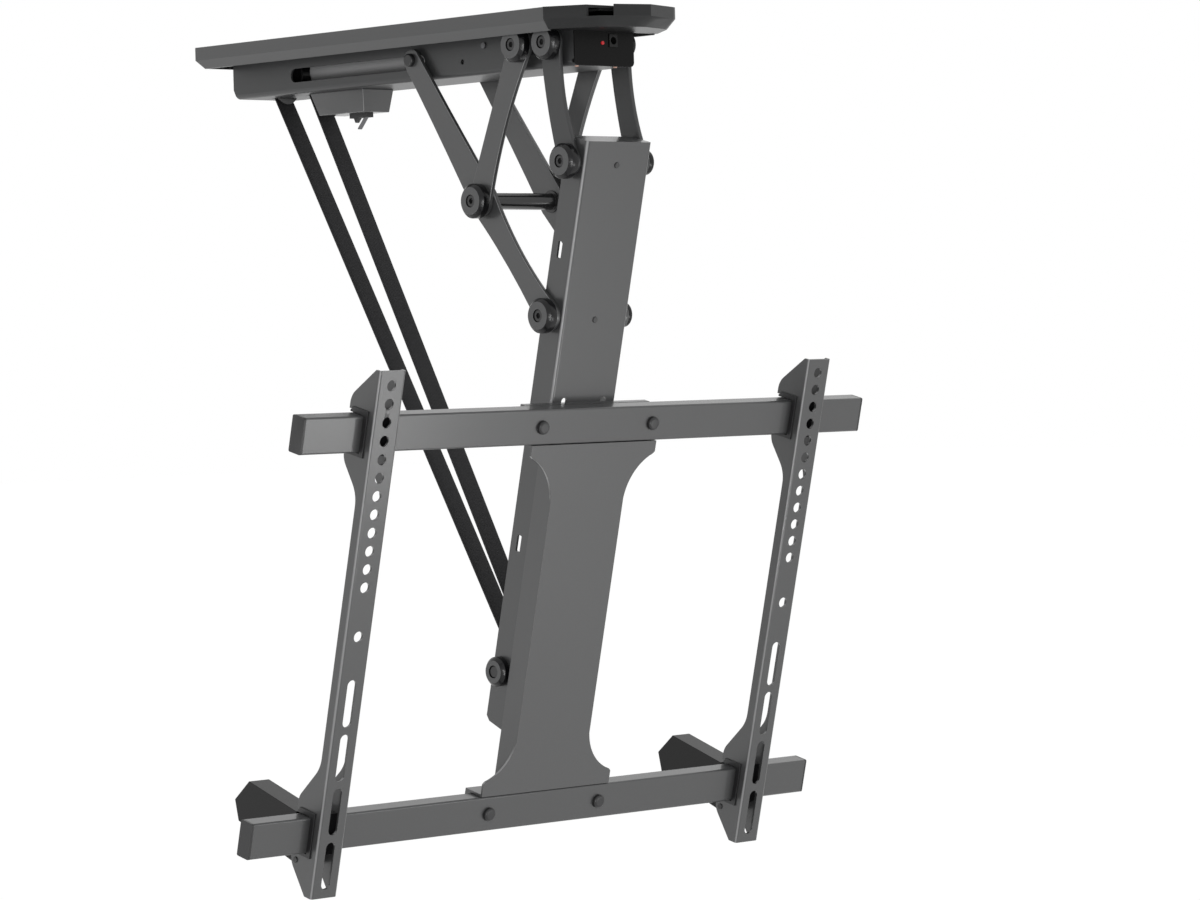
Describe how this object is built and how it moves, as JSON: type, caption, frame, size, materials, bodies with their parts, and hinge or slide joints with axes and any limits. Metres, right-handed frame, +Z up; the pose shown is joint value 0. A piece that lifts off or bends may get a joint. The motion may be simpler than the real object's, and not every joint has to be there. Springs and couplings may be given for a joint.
{
  "type": "motorised television ceiling mount",
  "caption": "Motorised flip-down ceiling mount: a strap-driven mast on folding links carries two bars with sliding slotted arms for a television.",
  "frame": {"origin": "centre of the top face of the ceiling plate, without its nose cover, where it meets the ceiling", "axes": "+X to the right as seen by somebody watching the screen, +Y towards the back of the mount, +Z up; the mast is drawn let down, hanging 14 degrees off the vertical with its foot to the back"},
  "size_m": [0.628, 0.5225, 0.7162],
  "materials": {
    "dark_steel": "satin powder coat",
    "black_steel": "black oxide",
    "cap_plastic": "fine satin",
    "cover_plastic": "satin",
    "liner_plastic": "matt",
    "grey_steel": "satin",
    "zinc_steel": "zinc plated",
    "board_green": "printed board",
    "red_lamp": "clear red",
    "clear_lamp": "tinted clear",
    "webbing": "woven"
  },
  "bodies": {
    "ceiling_unit": {"ceiling_plate": "dark_steel", "nose_cover": "cover_plastic", "housing": "dark_steel", "front_panel": "cover_plastic", "dc_jack": "liner_plastic", "status_led": "red_lamp", "receiver_lamps": "clear_lamp", "gear_motor": "grey_steel", "gearbox": "grey_steel", "motor_bracket": "grey_steel", "control_board": "board_green", "strap_lips": "liner_plastic", "switch_box": "dark_steel", "microswitch": "liner_plastic", "side_screws": "black_steel", "caps_rear": "cap_plastic", "bolts_rear": "black_steel", "caps_front": "cap_plastic", "bolts_front": "black_steel", "spacers_rear": "black_steel", "spacers_front": "black_steel", "strap": "webbing"},
    "spool": {"spool": "liner_plastic"},
    "switch_lever": {"switch_lever": "zinc_steel"},
    "short_links": {"short_link_left": "dark_steel", "short_link_right": "dark_steel", "cross_rod": "dark_steel", "caps_elbow": "cap_plastic", "bolts_elbow": "black_steel"},
    "long_links": {"long_link_left": "dark_steel", "long_link_right": "dark_steel", "slot_pins": "black_steel"},
    "front_links": {"front_link_left": "dark_steel", "front_link_right": "dark_steel", "caps_mast_top": "cap_plastic", "bolts_mast_top": "black_steel"},
    "mast": {"mast": "dark_steel", "mast_screws": "black_steel", "saddle_plate": "dark_steel", "top_bar": "dark_steel", "low_bar": "dark_steel", "top_bar_plugs": "liner_plastic", "low_bar_plugs": "liner_plastic", "bar_screws": "black_steel", "strap_axle": "black_steel", "caps_axle": "cap_plastic", "bolts_mast_mid": "black_steel", "caps_mast_mid": "cap_plastic"},
    "strap_roller": {"strap_roller": "liner_plastic"},
    "tv_arm_left": {"tv_arm_left": "dark_steel", "top_liner_left": "liner_plastic", "low_liner_left": "liner_plastic", "lock_pin_left": "black_steel"},
    "lock_lever_left": {"lock_lever_left": "liner_plastic"},
    "tv_arm_right": {"tv_arm_right": "dark_steel", "top_liner_right": "liner_plastic", "low_liner_right": "liner_plastic", "lock_pin_right": "black_steel"},
    "lock_lever_right": {"lock_lever_right": "liner_plastic"}
  },
  "joints": [
    {"name": "fold", "type": "hinge", "parent": "ceiling_unit", "child": "short_links", "pos_m": [0, -0.1497, -0.0264], "axis": [1, 0, 0], "range_deg": [0, 52.25], "deforming": ["strap"]},
    {"name": "elbow", "type": "hinge", "parent": "short_links", "child": "long_links", "pos_m": [0, -0.0945, -0.15288], "axis": [1, 0, 0], "range_deg": [-95, 0]},
    {"name": "mast_swing", "type": "hinge", "parent": "long_links", "child": "mast", "pos_m": [0, -0.16967, -0.25065], "axis": [1, 0, 0], "range_deg": [0, 118.7]},
    {"name": "front_swing", "type": "hinge", "parent": "ceiling_unit", "child": "front_links", "pos_m": [0, -0.1827, -0.0264], "axis": [1, 0, 0], "range_deg": [-46.7, 0]},
    {"name": "spool_spin", "type": "hinge", "parent": "ceiling_unit", "child": "spool", "pos_m": [0, 0.192, -0.0265], "axis": [1, 0, 0], "continuous": true},
    {"name": "roller_spin", "type": "hinge", "parent": "mast", "child": "strap_roller", "pos_m": [0, -0.09576, -0.54708], "axis": [1, 0, 0], "continuous": true},
    {"name": "switch_press", "type": "hinge", "parent": "ceiling_unit", "child": "switch_lever", "pos_m": [0, 0.102, -0.0687], "axis": [1, 0, 0], "range_deg": [0, 18], "stiffness_Nm_per_rad": 0.02},
    {"name": "arm_slide_left", "type": "slide", "parent": "mast", "child": "tv_arm_left", "axis": [-1, 0, 0], "range_m": [-0.14, 0.06]},
    {"name": "lock_turn_left", "type": "hinge", "parent": "tv_arm_left", "child": "lock_lever_left", "pos_m": [-0.24, -0.08567, -0.68472], "axis": [1, 0, 0], "range_deg": [-80, 0]},
    {"name": "arm_slide_right", "type": "slide", "parent": "mast", "child": "tv_arm_right", "axis": [1, 0, 0], "range_m": [-0.14, 0.06]},
    {"name": "lock_turn_right", "type": "hinge", "parent": "tv_arm_right", "child": "lock_lever_right", "pos_m": [0.24, -0.08567, -0.68472], "axis": [1, 0, 0], "range_deg": [-80, 0]}
  ],
  "couplings": [
    {"joint": "elbow", "follows": "fold", "ratio": -1.8181},
    {"joint": "mast_swing", "follows": "fold", "ratio": 2.271},
    {"joint": "front_swing", "follows": "fold", "ratio": -0.89295}
  ]
}
